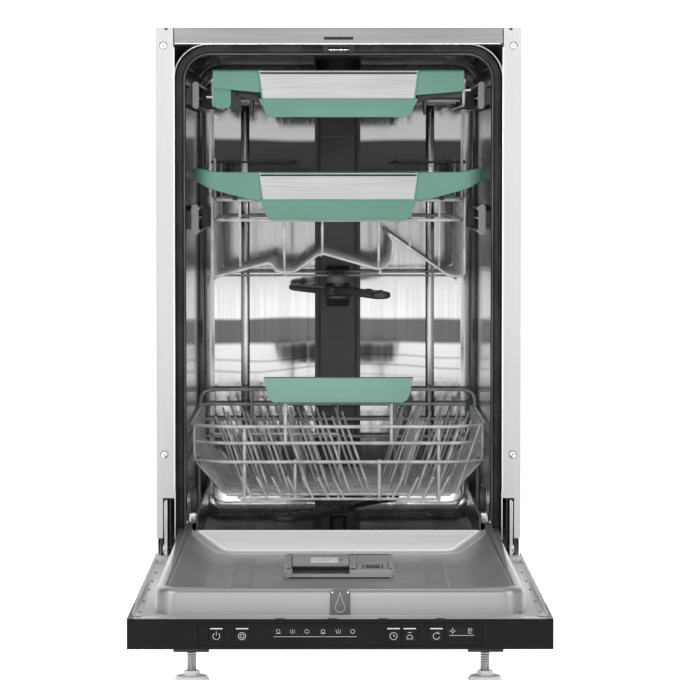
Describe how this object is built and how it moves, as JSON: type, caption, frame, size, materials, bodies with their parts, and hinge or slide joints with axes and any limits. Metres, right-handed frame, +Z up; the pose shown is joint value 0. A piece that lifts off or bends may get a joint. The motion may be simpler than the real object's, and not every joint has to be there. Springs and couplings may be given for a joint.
{
  "type": "built-in dishwasher",
  "caption": "Slim built-in dishwasher with its door open: stainless tub, cutlery tray, two wire baskets, two spray arms and a front-edge control strip.",
  "frame": {"origin": "on the floor, under the centre of the whole machine with its door lying open", "axes": "+Z up, the front of the machine faces -Y, +X to the right seen from the front"},
  "size_m": [0.448, 1.152, 0.815],
  "materials": {
    "stainless": "bright polished stainless sheet",
    "casing_sheet": "galvanised sheet, satin",
    "galvanised": "galvanised sheet with spangle",
    "black_plastic": "moulded, fine grain",
    "rubber": "satin rubber",
    "sump_plastic": "moulded",
    "motor_steel": "pressed steel can",
    "pale_plastic": "moulded polypropylene",
    "grey_plastic": "moulded, satin",
    "black_steel": "black coated steel",
    "zinc_steel": "zinc plated",
    "screw_head": "plated",
    "door_sheet": "galvanised sheet, satin",
    "door_liner_steel": "satin stainless sheet",
    "fascia_black": "fine satin black",
    "circuit_board": "solder mask",
    "lens": "smoked clear",
    "dispenser_grey": "moulded, satin",
    "handle_green": "moulded, soft satin",
    "handle_plate_steel": "brushed stainless inlay",
    "coated_wire": "grey nylon coating",
    "rail_grey": "satin",
    "spray_arm_grey": "moulded, satin",
    "shelf_black": "moulded"
  },
  "bodies": {
    "cabinet": {"tub": "stainless", "side_panel_left": "casing_sheet", "side_panel_right": "casing_sheet", "top_plate": "casing_sheet", "rear_panel": "galvanised", "base_tray": "black_plastic", "door_gasket": "rubber", "sump": "sump_plastic", "circulation_pump": "motor_steel", "drain_pump": "grey_plastic", "water_softener": "pale_plastic", "inlet_valve": "pale_plastic", "mains_inlet": "black_plastic", "water_duct": "sump_plastic", "rail_brackets": "grey_plastic", "latch_strike": "black_plastic", "hinge_brackets": "black_steel", "balance_springs": "zinc_steel", "side_screws": "screw_head"},
    "foot_front_left": {"foot_front_left": "pale_plastic"},
    "foot_front_right": {"foot_front_right": "pale_plastic"},
    "foot_rear": {"foot_rear": "pale_plastic"},
    "filter": {"filter_cup": "grey_plastic"},
    "salt_cap": {"salt_cap": "sump_plastic"},
    "door": {"door_panel": "door_sheet", "door_liner": "door_liner_steel", "control_panel": "fascia_black", "control_board": "circuit_board", "indicator_lights": "lens", "dispenser_body": "dispenser_grey", "door_lock": "grey_plastic", "wheel_guides": "grey_plastic", "hinge_arms": "zinc_steel"},
    "power_button": {"power_button": "fascia_black"},
    "program_button": {"program_button": "fascia_black"},
    "delay_button": {"delay_button": "fascia_black"},
    "half_load_button": {"half_load_button": "fascia_black"},
    "start_button": {"start_button": "fascia_black"},
    "detergent_lid": {"detergent_lid": "dispenser_grey"},
    "rinse_aid_cap": {"rinse_aid_cap": "dispenser_grey"},
    "tray": {"tray_frame": "sump_plastic", "tray_handle": "handle_green", "tray_plate": "handle_plate_steel"},
    "tray_rails": {"tray_rails": "rail_grey"},
    "middle_carriage": {"middle_carriages": "grey_plastic"},
    "middle_basket": {"middle_basket": "coated_wire", "middle_handle": "handle_green", "middle_plate": "handle_plate_steel"},
    "middle_rails": {"middle_rails": "rail_grey"},
    "middle_arm": {"middle_spray_arm": "spray_arm_grey"},
    "cup_shelf_left": {"cup_shelf_left": "shelf_black"},
    "cup_shelf_right": {"cup_shelf_right": "shelf_black"},
    "lower_basket": {"lower_basket": "coated_wire", "lower_handle": "handle_green"},
    "wheels_front": {"wheels_front": "grey_plastic"},
    "wheels_rear": {"wheels_rear": "grey_plastic"},
    "tines_left": {"tine_row_left": "coated_wire"},
    "tines_right": {"tine_row_right": "coated_wire"},
    "lower_arm": {"lower_spray_arm": "spray_arm_grey"}
  },
  "joints": [
    {"name": "door_hinge", "type": "hinge", "parent": "cabinet", "child": "door", "pos_m": [0, 0.062, 0.1755], "axis": [-1, 0, 0], "range_deg": [0, 90], "deforming": ["balance_springs"]},
    {"name": "power_press", "type": "slide", "parent": "door", "child": "power_button", "axis": [0, 1, 0], "range_m": [0, 0.0015], "stiffness_N_per_m": 900},
    {"name": "program_press", "type": "slide", "parent": "door", "child": "program_button", "axis": [0, 1, 0], "range_m": [0, 0.0015], "stiffness_N_per_m": 900},
    {"name": "delay_press", "type": "slide", "parent": "door", "child": "delay_button", "axis": [0, 1, 0], "range_m": [0, 0.0015], "stiffness_N_per_m": 900},
    {"name": "half_load_press", "type": "slide", "parent": "door", "child": "half_load_button", "axis": [0, 1, 0], "range_m": [0, 0.0015], "stiffness_N_per_m": 900},
    {"name": "start_press", "type": "slide", "parent": "door", "child": "start_button", "axis": [0, 1, 0], "range_m": [0, 0.0015], "stiffness_N_per_m": 900},
    {"name": "detergent_lid_slide", "type": "slide", "parent": "door", "child": "detergent_lid", "axis": [0, 1, 0], "range_m": [-0.045, 0]},
    {"name": "rinse_aid_flap", "type": "hinge", "parent": "door", "child": "rinse_aid_cap", "pos_m": [0.0385, -0.143, 0.1806], "axis": [1, 0, 0], "range_deg": [-85, 0]},
    {"name": "tray_slide", "type": "slide", "parent": "cabinet", "child": "tray", "axis": [0, 1, 0], "range_m": [-0.4, 0]},
    {"name": "tray_rail_slide", "type": "slide", "parent": "cabinet", "child": "tray_rails", "axis": [0, 1, 0], "range_m": [-0.2, 0]},
    {"name": "middle_slide", "type": "slide", "parent": "cabinet", "child": "middle_carriage", "axis": [0, 1, 0], "range_m": [-0.4, 0]},
    {"name": "middle_rail_slide", "type": "slide", "parent": "cabinet", "child": "middle_rails", "axis": [0, 1, 0], "range_m": [-0.2, 0]},
    {"name": "middle_lift", "type": "slide", "parent": "middle_carriage", "child": "middle_basket", "axis": [0, 0, 1], "range_m": [-0.024, 0]},
    {"name": "middle_arm_spin", "type": "hinge", "parent": "middle_basket", "child": "middle_arm", "pos_m": [0, 0.308, 0.484], "axis": [0, 0, 1], "continuous": true},
    {"name": "cup_shelf_left_fold", "type": "hinge", "parent": "middle_basket", "child": "cup_shelf_left", "pos_m": [-0.158, 0.272, 0.651], "axis": [0, -1, 0], "range_deg": [0, 45]},
    {"name": "cup_shelf_right_fold", "type": "hinge", "parent": "middle_basket", "child": "cup_shelf_right", "pos_m": [0.158, 0.272, 0.651], "axis": [0, 1, 0], "range_deg": [0, 45]},
    {"name": "lower_slide", "type": "slide", "parent": "cabinet", "child": "lower_basket", "axis": [0, 1, 0], "range_m": [-0.46, 0]},
    {"name": "wheels_front_roll", "type": "hinge", "parent": "lower_basket", "child": "wheels_front", "pos_m": [0, 0.158, 0.2269], "axis": [1, 0, 0], "range_deg": [0, 1720]},
    {"name": "wheels_rear_roll", "type": "hinge", "parent": "lower_basket", "child": "wheels_rear", "pos_m": [0, 0.488, 0.2269], "axis": [1, 0, 0], "range_deg": [0, 1720]},
    {"name": "tines_left_fold", "type": "hinge", "parent": "lower_basket", "child": "tines_left", "pos_m": [-0.042, 0.3185, 0.243], "axis": [0, 1, 0], "range_deg": [-68, 0]},
    {"name": "tines_right_fold", "type": "hinge", "parent": "lower_basket", "child": "tines_right", "pos_m": [0.084, 0.3185, 0.243], "axis": [0, -1, 0], "range_deg": [-68, 0]},
    {"name": "lower_arm_spin", "type": "hinge", "parent": "cabinet", "child": "lower_arm", "pos_m": [0, 0.293, 0.203], "axis": [0, 0, 1], "continuous": true},
    {"name": "filter_turn", "type": "hinge", "parent": "cabinet", "child": "filter", "pos_m": [0, 0.293, 0.165], "axis": [0, 0, 1], "range_deg": [-90, 0]},
    {"name": "salt_cap_turn", "type": "hinge", "parent": "cabinet", "child": "salt_cap", "pos_m": [-0.128, 0.186, 0.173], "axis": [0, 0, 1], "range_deg": [-180, 0]},
    {"name": "foot_front_left_adjust", "type": "slide", "parent": "cabinet", "child": "foot_front_left", "axis": [0, 0, -1], "range_m": [0, 0.05]},
    {"name": "foot_front_right_adjust", "type": "slide", "parent": "cabinet", "child": "foot_front_right", "axis": [0, 0, -1], "range_m": [0, 0.05]},
    {"name": "foot_rear_adjust", "type": "slide", "parent": "cabinet", "child": "foot_rear", "axis": [0, 0, -1], "range_m": [0, 0.05]}
  ],
  "couplings": [
    {"joint": "tray_rail_slide", "follows": "tray_slide", "ratio": 0.5},
    {"joint": "middle_rail_slide", "follows": "middle_slide", "ratio": 0.5},
    {"joint": "wheels_front_roll", "follows": "lower_slide", "rad_per_m": -64.516},
    {"joint": "wheels_rear_roll", "follows": "lower_slide", "rad_per_m": -64.516}
  ]
}
